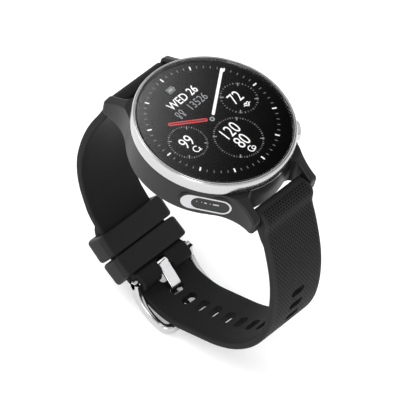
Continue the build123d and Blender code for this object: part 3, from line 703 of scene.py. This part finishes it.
def strap_mesh(outer, inner, widths, lengths):
    """A strap between two lines with matching points: points, faces, uv and outer-face flags."""
    count = len(outer)
    loop = list(outer) + list(reversed(inner))
    half_widths = list(widths) + list(reversed(widths))
    along = list(lengths) + list(reversed(lengths))
    total = len(loop)
    area = sum(a[0] * b[1] - b[0] * a[1] for a, b in zip(loop, loop[1:] + loop[:1]))
    inwards = []
    for index in range(total):
        a, b = Vector(loop[index - 1]), Vector(loop[(index + 1) % total])
        heading = (b - a).normalized()
        inwards.append(Vector((-heading.y, heading.x)) * math.copysign(1, area))
    rounding = [math.pi / 2 * (1 - k / 5) for k in range(6)]
    columns = [(-1, angle) for angle in rounding]
    columns += [(fraction / 4, None) for fraction in range(-3, 4)]
    columns += [(1, angle) for angle in reversed(rounding)]
    points, uv = [], []
    for side, angle in columns:
        lift = 0 if angle is None else STRAP_EDGE * math.sin(angle)
        inset = 0 if angle is None else STRAP_EDGE * (1 - math.cos(angle))
        for index in range(total):
            x = side * (half_widths[index] - STRAP_EDGE + lift)
            place = Vector(loop[index]) + inwards[index] * inset
            points.append((x, place.x, place.y))
            uv.append((x, along[index]))
    faces, outer_flags = [], []
    for column in range(len(columns) - 1):
        a, b = column * total, (column + 1) * total
        for index in range(total):
            after = (index + 1) % total
            faces.append((a + index, a + after, b + after, b + index))
            outer_flags.append(index < count - 1)
    for base in (0, (len(columns) - 1) * total):
        for index in range(count - 1):
            mate = total - 1 - index
            faces.append((base + index, base + index + 1, base + mate - 1, base + mate))
            outer_flags.append(False)
    return points, faces, uv, outer_flags


def strap_place(route, length):
    """Matrix at a distance along a strap's route: X across, Y along, Z to the left of the route."""
    y, z, heading = route.at(length)
    along = Vector((0, math.cos(heading), math.sin(heading)))
    out = Vector((0, -math.sin(heading), math.cos(heading)))
    return placed((0, y, z), along.cross(out), along, out)


def dimpled(name, colour, rough, pitch, half_width, start, end):
    """Strap rubber with staggered dimples between two distances along the strap, their wells darkened as
    painted shade; uv is in millimetres.
    """
    row_ratio = 0.8
    dimple_start, dimple_end = 0.22, 0.36
    material, tree, shader = node_material(name)
    calc = functools.partial(math_node, tree)
    coords = tree.nodes.new("ShaderNodeUVMap")
    coords.uv_map = "across"
    split = tree.nodes.new("ShaderNodeSeparateXYZ")
    tree.links.new(coords.outputs["UV"], split.inputs[0])
    across, along = split.outputs["X"], split.outputs["Y"]
    rows = calc("DIVIDE", along, pitch * row_ratio)
    stagger = calc("MULTIPLY", calc("MODULO", calc("FLOOR", rows), 2), 0.5)
    # A hundred columns more keep the count positive on both sides of the middle.
    columns = calc("ADD", calc("DIVIDE", across, pitch), calc("ADD", stagger, 100))
    du = calc("SUBTRACT", calc("FRACT", columns), 0.5)
    dv = calc("MULTIPLY", calc("SUBTRACT", calc("FRACT", rows), 0.5), row_ratio)
    squares = calc("ADD", calc("MULTIPLY", du, du), calc("MULTIPLY", dv, dv))
    distance = calc("SQRT", squares)
    rim = map_range(tree, distance, start=dimple_start, end=dimple_end, smooth=True)
    inside = calc("LESS_THAN", calc("ABSOLUTE", across), half_width)
    inside = calc("MULTIPLY", inside, calc("GREATER_THAN", along, start))
    inside = calc("MULTIPLY", inside, calc("LESS_THAN", along, end))
    depth = calc("MULTIPLY", calc("SUBTRACT", 1, rim), inside)
    height = calc("SUBTRACT", 1, depth)
    # Painted shade: the dimples' wells are painted down to a tenth of the rubber's colour round them.
    mix_colours(tree, depth, colour, [c * 0.1 for c in colour], shader.inputs["Base Color"])
    result, _ = noise_ramp(tree, 5000, 4, rough * 0.9, min(1, rough * 1.1))
    tree.links.new(result, shader.inputs["Roughness"])
    shader.inputs["Specular IOR Level"].default_value = 0.08
    add_bump(tree, shader, height, 1.0, 0.4 * MM)
    return material


def strap_lines(route, out_sign, half, first, starts, ends):
    """Outer and inner lines of a strap, each with its shaped start and end, and the band between them."""
    last = route.samples[-1][3] - END_PIECE

    def line(sign, start, end):
        distances = [first + (last - first) * k / BAND_STEPS for k in range(BAND_STEPS + 1)]
        band = [offset_point(route.at(distance), sign * half) for distance in distances]
        head = []
        if start:
            curve = smooth_curve(start + [band[0], band[2]], SPAN_STEPS)[:-SPAN_STEPS]
            head = resample(curve, START_POINTS)[:-1]
        curve = smooth_curve([band[-3], band[-1]] + end, SPAN_STEPS)[SPAN_STEPS:]
        return head + band + resample(curve, END_POINTS)[1:]

    return line(out_sign, starts[0], ends[0]), line(-out_sign, starts[1], ends[1])


# ---- strap half with the holes, at 6 o'clock ----
hole_route = Route(loop_point(OUTER_R, -53.6), -143.6)
hole_route.bend(OUTER_R, -24.4)
hole_route.bend(21, -34)
hole_route.run(10.6)
hole_route.bend(28.5, -68)
hole_route.bend(50, -22)
hole_route.reach((-30.0, 0.8))
hole_length = hole_route.samples[-1][3]

shoulder = [offset_point(hole_route.at(hole_length - NEAR_END), OUTER_HALF)]
shoulder += [(-31.15, 2.3), (-30.95, 4.1), (-30.1, 5.5), (-28.8, 6.15), (-27.2, 6.26), (-25.8, 6.15)]
shoulder += [(-24.9, 5.6), (-24.4, 4.7)]
underside = [(-29.6, -2.1), (-28.1, 0.1), (-26.9, 1.5), (-25.9, 2.15), (-25.0, 2.6), (-24.5, 3.4), (-24.4, 4.0)]
outer_line, inner_line = strap_lines(hole_route, 1, OUTER_HALF, 0, ([], []), (shoulder, underside))
lengths = running_lengths(outer_line)
# The tail's corners are quarter circles. Its first row is a little wider, so that they start less abruptly.
TAIL_ROUND = 5.5
TAIL_WIDER = 0.6
widths = []
for s in lengths:
    missing = max(0, TAIL_ROUND - s)
    widths.append(STRAP_HALF - TAIL_ROUND + math.sqrt(TAIL_ROUND**2 - missing**2))
widths[0] += TAIL_WIDER
points, faces, uv, outer_flags = strap_mesh(outer_line, inner_line, widths, lengths)
hole_strap = add_piece("hole_strap_band", points, faces, STRAP, "hole_strap", "strap_black", uv=uv)
dimples = dimpled(
    "strap_dimpled",
    (0.022, 0.022, 0.0225),
    0.6,
    pitch=1.05,
    half_width=8.9,
    start=28,
    end=lengths[-1] - 3.4,
)
hole_strap.data.materials.append(dimples)
for polygon, is_outer in zip(hole_strap.data.polygons, outer_flags):
    polygon.material_index = 1 if is_outer else 0
# Slots before and after the tang's own one.
HOLE_PITCH = 5.1
TANG_HOLE = 30.5
SLOT = rounded_rectangle(2.7, 1.3, 1.25)
slots = []
for index in range(-4, 13):
    place = strap_place(hole_route, TANG_HOLE + index * HOLE_PITCH)
    slots.append(prism(SLOT, place, -2, 2))
cut(hole_strap, slots)
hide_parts("strap_hole_side")

# ---- strap half with the buckle, at 12 o'clock ----
buckle_route = Route(loop_point(INNER_R, BUCKLE_ANGLE), BUCKLE_ANGLE + 90)
buckle_route.bend(INNER_R, 18.8)
buckle_route.bend(14, 20)
buckle_route.run(3.5)
buckle_route.bend(28, 33.5)
buckle_route.bend(50, 21)
buckle_route.reach((28.9, 0.6))
buckle_length = buckle_route.samples[-1][3]

# The lump round the buckle bar, as (radius, angle) on the loop; the plain band starts after it.
LUMP_END = 3.2
lump_outer = [(64.35, -75.45), (65.1, -75.3), (65.6, -74.7), (65.74, -73.6), (65.75, -72.3), (65.72, -70.9)]
lump_inner = [(63.7, -75.45), (62.9, -75.25), (62.2, -74.5), (61.88, -73.4), (61.85, -72.3), (62.0, -71.2)]
lump_inner += [(62.6, -70.3)]
shoulder = [offset_point(buckle_route.at(buckle_length - NEAR_END), -INNER_HALF)]
shoulder += [(29.75, 2.3), (29.45, 4.1), (28.7, 5.4), (27.7, 6.05), (26.6, 6.26), (25.4, 6.2)]
shoulder += [(24.5, 5.6), (24.05, 4.7)]
underside = [(28.5, -2.2), (27.5, 0.1), (26.8, 1.5), (25.6, 2.15), (24.7, 2.6), (24.15, 3.4), (24.05, 4.0)]
lumps = [[loop_point(*p) for p in line] for line in (lump_outer, lump_inner)]
outer_line, inner_line = strap_lines(buckle_route, -1, INNER_HALF, LUMP_END, lumps, (shoulder, underside))
lengths = running_lengths(outer_line)
points, faces, uv, _ = strap_mesh(outer_line, inner_line, [STRAP_HALF] * len(lengths), lengths)
buckle_strap = add_piece("buckle_strap_band", points, faces, STRAP, "buckle_strap", "strap_black", uv=uv)
BUCKLE_BAR = loop_point(BUCKLE_R, BUCKLE_ANGLE)
bar_turn = math.radians(BUCKLE_ANGLE)
bar_out = Vector((0, math.cos(bar_turn), math.sin(bar_turn)))
across = Vector((1, 0, 0))
notch_place = placed((0, *BUCKLE_BAR), across, bar_out.cross(across), bar_out)
notch_box = [(-1.95, -1.8), (1.95, -1.8), (1.95, 5.0), (-1.95, 5.0)]
notch_round = arc_points((0, 3.9), 3.2, steps=40)[:-1]
for outline in (notch_box, notch_round):
    cut(buckle_strap, [prism(outline, notch_place, -5, 5)])
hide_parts("strap_buckle_side")


# ---- keepers ----
KEEPER_R = 65.8
KEEPER_HALF = 13.0
# Edge rounding of the opening, of the outside over the strap, and how much more at the two ends.
OPENING_EDGE = 0.3
OUTSIDE_EDGE = 0.4
END_EDGE_MORE = 0.8
# Corners of a keeper's section: whether outside, side along the strap, whether the arc runs backwards.
KEEPER_CORNERS = ((True, -1, True), (True, 1, False), (False, 1, True), (False, -1, False))


def keeper(name, angles, body, node):
    """A rubber loop round the strap between two angles; its edges are rounder towards its two ends."""
    outer_ring = rounded_rectangle(KEEPER_HALF, 4.2, 1.9)
    inner_ring = rounded_rectangle(10.35, 2.85, 0.5)
    middle = math.radians((angles[0] + angles[1]) / 2)
    half_span = math.radians(angles[1] - angles[0]) / 2
    quarter = [math.pi / 2 * k / 5 for k in range(6)]
    points = []
    for (ox, oy), (ix, iy) in zip(outer_ring, inner_ring):
        end_part = max(0, min(1, (abs(ox) - STRAP_HALF) / (KEEPER_HALF - STRAP_HALF)))
        outer_edge = OUTSIDE_EDGE + END_EDGE_MORE * end_part * end_part
        thickness = math.hypot(ix - ox, iy - oy)
        for outside, side, backwards in KEEPER_CORNERS:
            edge = outer_edge if outside else OPENING_EDGE
            for angle in quarter:
                a = math.pi / 2 - angle if backwards else angle
                depth = edge * (1 - math.cos(a))
                t = (depth if outside else thickness - depth) / thickness
                turn = middle + side * (half_span - edge * (1 - math.sin(a)) / KEEPER_R)
                y, z = loop_point(KEEPER_R + oy + (iy - oy) * t, math.degrees(turn))
                points.append((ox + (ix - ox) * t, y, z))
    rows = len(KEEPER_CORNERS) * len(quarter)
    faces = []
    for ring in range(len(outer_ring)):
        here, there = ring * rows, (ring + 1) % len(outer_ring) * rows
        for row in range(rows):
            after = (row + 1) % rows
            faces.append((here + row, here + after, there + after, there + row))
    piece = add_piece(name, points, faces, KEEPER, body, "keeper_black")
    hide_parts(node)


keeper("keeper_fixed_loop", (-70.0, -64.0), "buckle_strap", "keeper_fixed")
keeper("keeper_sliding_loop", (-63.5, -57.2), "sliding_keeper", "keeper_free")

# ==== Button caps, and painted glints at the finger window ====
CASE_SIDE_R = 23.3
BUTTON_Z = 6.6
BUTTON_PROFILE = [(0, 0), (3.0, 0), (3.0, 1.75), (2.9, 2.05), (2.65, 2.3), (2.35, 2.4), (2.2, 2.36)]
BUTTON_PROFILE += [(2.1, 2.2), (1.95, 2.16), (1.8, 2.3), (1.3, 2.44), (0.6, 2.49), (0, 2.5)]
STEM_PROFILE = [(0, -4.7), (1.0, -4.7), (1.0, -3.75), (0.78, -3.75), (0.78, -3.3), (1.0, -3.3), (1.0, -2.7)]
STEM_PROFILE += [(0.78, -2.7), (0.78, -2.1), (1.0, -2.1), (1.0, 0.1), (0, 0.1)]
for side, angle in (("upper", 34), ("lower", -34)):
    place = radial_place(angle, CASE_SIDE_R, BUTTON_Z)
    shapes = join([lathe(BUTTON_PROFILE, 64, place), lathe(STEM_PROFILE, 32, place)])
    cap = add_piece(f"button_cap_{side}", *shapes, CHROME, f"{side}_button", "polished_metal")
    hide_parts(f"button_{side}")

# The bright spots at the finger window are painted highlights: thin grey patches that glow, though nothing
# there is a lamp.
finger_place = radial_place(-144.5, CASE_SIDE_R + 0.06, 5.7, 1.7)
# Each painted glint, a small grey patch that glows as painted highlight: place across and up, half width and
# half height.
PAINTED_GLINTS = [(-0.2, 0.6, 0.4, 0.22), (2.7, 0.65, 0.85, 0.28), (-1.3, 0.7, 0.15, 0.14)]
PAINTED_GLINTS += [(1.1, 0.6, 0.18, 0.14), (-2.7, 0.7, 0.2, 0.14)]
glint_shapes = []
for x, y, half_width, half_height in PAINTED_GLINTS:
    outline = rounded_rectangle(half_width, half_height, 0.12, 4)
    glint_shapes.append(prism(outline, finger_place @ Matrix.Translation((x, y, 0)), 0, 0.03))
add_piece("finger_painted_glints", *join(glint_shapes), PAINTED_GLINT, "case", "led_clear")

for node, width in (("mid_case", 0.12), ("finger_electrode", 0.1)):
    soften(frame["nodes"][node], width)
frame["nodes"]["finger_electrode"].data.materials[0] = FINGER_METAL

# ==== Buckle: a polished frame swept along its arms and far bar, and the tang ====
# The arms' middle and the far bar, as (y, z).
ARM_MIDDLE = (-0.3, -63.5)
FAR_BAR = (-8.9, -64.45)
# An arm's place across, half widths of the arms and the far bar, half depth of both, corner radius.
ARM_X = 11.15
ARM_HALF = 0.95
BAR_HALF = 1.3
ARM_DEPTH = 1.38
CORNER_R = 2.4
# The arms are deeper near the pivot: by how much, and over what length.
SWELL = 0.35
SWELL_LENGTH = 4
# The round end past the pivot: how far it reaches, and its radius.
END_REACH = 1.75
END_R = 1.8


def arc_through(a, b, c):
    """Centre and radius of the circle through three 2-D points."""
    d = 2 * (a[0] * (b[1] - c[1]) + b[0] * (c[1] - a[1]) + c[0] * (a[1] - b[1]))
    squares = [p[0] ** 2 + p[1] ** 2 for p in (a, b, c)]
    y = (squares[0] * (b[1] - c[1]) + squares[1] * (c[1] - a[1]) + squares[2] * (a[1] - b[1])) / d
    z = (squares[0] * (c[0] - b[0]) + squares[1] * (a[0] - c[0]) + squares[2] * (b[0] - a[0])) / d
    return (y, z), math.dist((y, z), a)


ARM_CENTRE, ARM_R = arc_through(BUCKLE_BAR, ARM_MIDDLE, FAR_BAR)
ARM_START = math.atan2(BUCKLE_BAR[1] - ARM_CENTRE[1], BUCKLE_BAR[0] - ARM_CENTRE[0])
ARM_END = math.atan2(FAR_BAR[1] - ARM_CENTRE[1], FAR_BAR[0] - ARM_CENTRE[0])
ARM_SWEEP = (ARM_END - ARM_START + math.pi) % (2 * math.pi) - math.pi
ARM_LENGTH = abs(ARM_SWEEP) * ARM_R


def on_arm(x, distance, depth):
    """A point of the buckle: x across, distance along the arm from its pivot, depth off the arm's curve."""
    angle = ARM_START + math.copysign(distance / ARM_R, ARM_SWEEP)
    radius = ARM_R + depth
    return (x, ARM_CENTRE[0] + radius * math.cos(angle), ARM_CENTRE[1] + radius * math.sin(angle))


def buckle_path():
    """(x, distance, heading, half width, half depth) along near arm, far bar and far arm."""
    path = []
    for k in range(7):
        distance = -END_REACH * math.cos(math.pi / 2 * k / 6)
        path.append((-ARM_X, distance, 90, ARM_HALF, math.sqrt(END_R**2 - distance**2)))
    last = ARM_LENGTH - CORNER_R
    for k in range(1, 25):
        distance = last * k / 24
        near = max(0, 1 - distance / SWELL_LENGTH)
        path.append((-ARM_X, distance, 90, ARM_HALF, ARM_DEPTH + SWELL * near * near))
    for k in range(1, 13):
        turn = math.radians(90 * k / 12)
        x = -ARM_X + CORNER_R * (1 - math.cos(turn))
        distance = last + CORNER_R * math.sin(turn)
        half = ARM_HALF + (BAR_HALF - ARM_HALF) * k / 12
        path.append((x, distance, 90 - 90 * k / 12, half, ARM_DEPTH))
    first_x = CORNER_R - ARM_X
    path += [(first_x * (1 - k / 10), ARM_LENGTH, 0, BAR_HALF, ARM_DEPTH) for k in range(1, 11)]
    return path + [(-x, distance, -heading, w, d) for x, distance, heading, w, d in reversed(path[:-1])]


def swept_frame(path):
    """A rounded section carried along the buckle's path."""
    section = rounded_rectangle(1, 1, 0.55, 5)
    points = []
    for x, distance, heading, half_width, half_depth in path:
        turn = math.radians(heading)
        aside = (-math.sin(turn), math.cos(turn))
        for u, v in section:
            across = u * half_width
            points.append(on_arm(x + aside[0] * across, distance + aside[1] * across, v * half_depth))
    return points, tube_faces(len(section), len(path))


ring_shape = swept_frame(buckle_path())
buckle_ring = add_piece("buckle_ring", *ring_shape, CHROME, "buckle", "polished_metal", sharp=50)
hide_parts("buckle_frame")

# The tang's half width, half thickness, and its middle line from behind the pivot to its tip on the far bar.
TANG_HALF = 1.85
TANG_T = 0.45
TANG_POINTS = [(6.95, -56.0), (6.3, -55.4), (5.4, -55.3), (4.6, -55.8), (3.4, -56.85), (1.2, -58.35)]
TANG_POINTS += [(-0.5, -59.6), (-1.0, -60.5), (-1.15, -62.0), (-1.34, -63.3), (-2.0, -63.9)]
TANG_POINTS += [(-5.0, -64.65), (-9.2, -65.65)]
TANG_RINGS = 72
TIP_START = 56


def tang_shapes():
    """The bent plate, narrower towards its tip, with the collar that turns on the bar."""
    line = resample(smooth_curve(TANG_POINTS, 8), TANG_RINGS)
    points = []
    section = rounded_rectangle(TANG_HALF, TANG_T, 0.22, 3)
    for index, place in enumerate(line):
        before, after = line[max(0, index - 1)], line[min(len(line) - 1, index + 1)]
        heading = Vector((after[0] - before[0], after[1] - before[1])).normalized()
        narrow = 1 - 0.3 * max(0, (index - TIP_START) / (TANG_RINGS - 1 - TIP_START))
        for u, v in section:
            points.append((u * narrow, place[0] - heading.y * v, place[1] + heading.x * v))
    faces = tube_faces(len(section), len(line))
    pivot = Matrix.Translation((0, *BUCKLE_BAR)) @ Matrix.Rotation(math.pi / 2, 4, "Y")
    collar = [(0.88, -1.7), (1.1, -1.7), (1.2, -1.6), (1.2, 1.6), (1.1, 1.7), (0.88, 1.7)]
    return join([(points, faces), lathe(collar, 48, pivot)])


tang_bar = add_piece("tang_bar", *tang_shapes(), TANG_HIGHLIGHT_CHROME, "tang", "polished_metal", sharp=50)
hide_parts("buckle_tang")

# ==== Floor, light and camera ====
def square(name, half, material):
    """A flat square object, half its side in metres."""
    mesh = bpy.data.meshes.new(name)
    corners = [(-half, -half, 0), (half, -half, 0), (half, half, 0), (-half, half, 0)]
    mesh.from_pydata(corners, [], [(0, 1, 2, 3)])
    mesh.materials.append(material)
    sheet = bpy.data.objects.new(name, mesh)
    bpy.context.scene.collection.objects.link(sheet)
    return sheet


FLOOR_GLOW = 0.28
FLOOR_WHITE = plain("floor_white", (0.9, 0.9, 0.9), 0.9, grain=3, spread=0.005, bump=0.0)
floor_shader = FLOOR_WHITE.node_tree.nodes["Principled BSDF"]
floor_shader.inputs["Emission Color"].default_value = (1, 1, 1, 1)
floor_shader.inputs["Emission Strength"].default_value = FLOOR_GLOW
floor = square("floor", 6.0, FLOOR_WHITE)
floor.location.z = cad_low.z - 0.5 * MM

# A white sky that is a little darker towards the horizon.
world = bpy.data.worlds.new("studio")
world.use_nodes = True
sky_tree = world.node_tree
background = sky_tree.nodes["Background"]
background.inputs["Color"].default_value = (1, 1, 1, 1)
sky_coords = sky_tree.nodes.new("ShaderNodeTexCoord")
sky_split = sky_tree.nodes.new("ShaderNodeSeparateXYZ")
sky_tree.links.new(sky_coords.outputs["Generated"], sky_split.inputs[0])
sky_level = map_range(sky_tree, sky_split.outputs["Z"], 0.7, 0.95, end=0.5, smooth=True)
sky_tree.links.new(sky_level, background.inputs["Strength"])
bpy.context.scene.world = world
bpy.context.scene.view_settings.view_transform = "Standard"


def area_light(name, place, size, power):
    """A soft light that faces the origin."""
    data = bpy.data.lights.new(name, "AREA")
    data.shape = "RECTANGLE"
    data.size, data.size_y = size
    data.energy = power
    lamp = bpy.data.objects.new(name, data)
    lamp.location = place
    lamp.rotation_euler = (-Vector(place)).to_track_quat("-Z", "Y").to_euler()
    bpy.context.scene.collection.objects.link(lamp)


area_light("key", (-0.5, 0.9, 0.9), (0.9, 0.9), 8)
area_light("side", (-1.0, -0.4, 0.5), (0.5, 0.9), 5)

# A graded card above the far side, which the cover glass mirrors in the main view. It is hidden from the camera
# itself, and it gives no diffuse light and no shadow.
CARD_DISTANCE = 0.3
CARD_HALF = 0.08
# Half the length of its fade, its strength at the dark end, and how many times stronger the lit end is.
FADE_HALF = 0.026
CARD_DARK = 0.03
CARD_RATIO = 60
CARD_DIRECTION = Vector((0.5458, 0.3345, 0.7683)).normalized()
CARD_FADE = Vector((-0.55, 0.84, 0))


def card_material():
    """Emission that fades from the lit end of the card to its dark end."""
    material, tree, shader = node_material("card")
    tree.nodes.remove(shader)
    coords = tree.nodes.new("ShaderNodeTexCoord")
    split = tree.nodes.new("ShaderNodeSeparateXYZ")
    tree.links.new(coords.outputs["Object"], split.inputs[0])
    fade = map_range(tree, split.outputs["X"], start=-FADE_HALF, end=FADE_HALF)
    level = math_node(tree, "MULTIPLY", math_node(tree, "POWER", CARD_RATIO, fade), CARD_DARK)
    emission = tree.nodes.new("ShaderNodeEmission")
    tree.links.new(level, emission.inputs["Strength"])
    tree.links.new(emission.outputs[0], tree.nodes["Material Output"].inputs["Surface"])
    return material


card = square("card", CARD_HALF, card_material())
card_x = (CARD_FADE - CARD_DIRECTION * CARD_FADE.dot(CARD_DIRECTION)).normalized()
card_origin = Vector((0, 0, GLASS_TOP * MM)) + CARD_DIRECTION * CARD_DISTANCE
card.matrix_world = placed(card_origin, card_x, CARD_DIRECTION.cross(card_x), CARD_DIRECTION)
card.visible_camera = False
card.visible_diffuse = False
card.visible_shadow = False

# The camera looks along the photograph's line of sight and is rolled as it is there. The drop moves it down in
# the picture's own plane, in metres like its place.
CAMERA_PLACE = Vector((-0.8005, -0.4922, 1.1074))
CAMERA_DROP = 0.25 * MM
SIGHT = Vector((-0.5458, -0.3345, 0.7683)).normalized()
ROLL = Vector((0.247, 0.969)).normalized()
upright = (Vector((0, 0, 1)) - SIGHT * SIGHT.z).normalized()
rightward = (-SIGHT).cross(upright)
camera_right = ROLL.x * upright + ROLL.y * rightward
camera_up = ROLL.y * upright - ROLL.x * rightward
camera_data = bpy.data.cameras.new("camera")
camera_data.lens = 468
camera_data.sensor_width = 36
camera_data.clip_end = 20
camera = bpy.data.objects.new("camera", camera_data)
camera.matrix_world = placed(CAMERA_PLACE - camera_up * CAMERA_DROP, camera_right, camera_up, SIGHT)
bpy.context.scene.collection.objects.link(camera)
bpy.context.scene.camera = camera
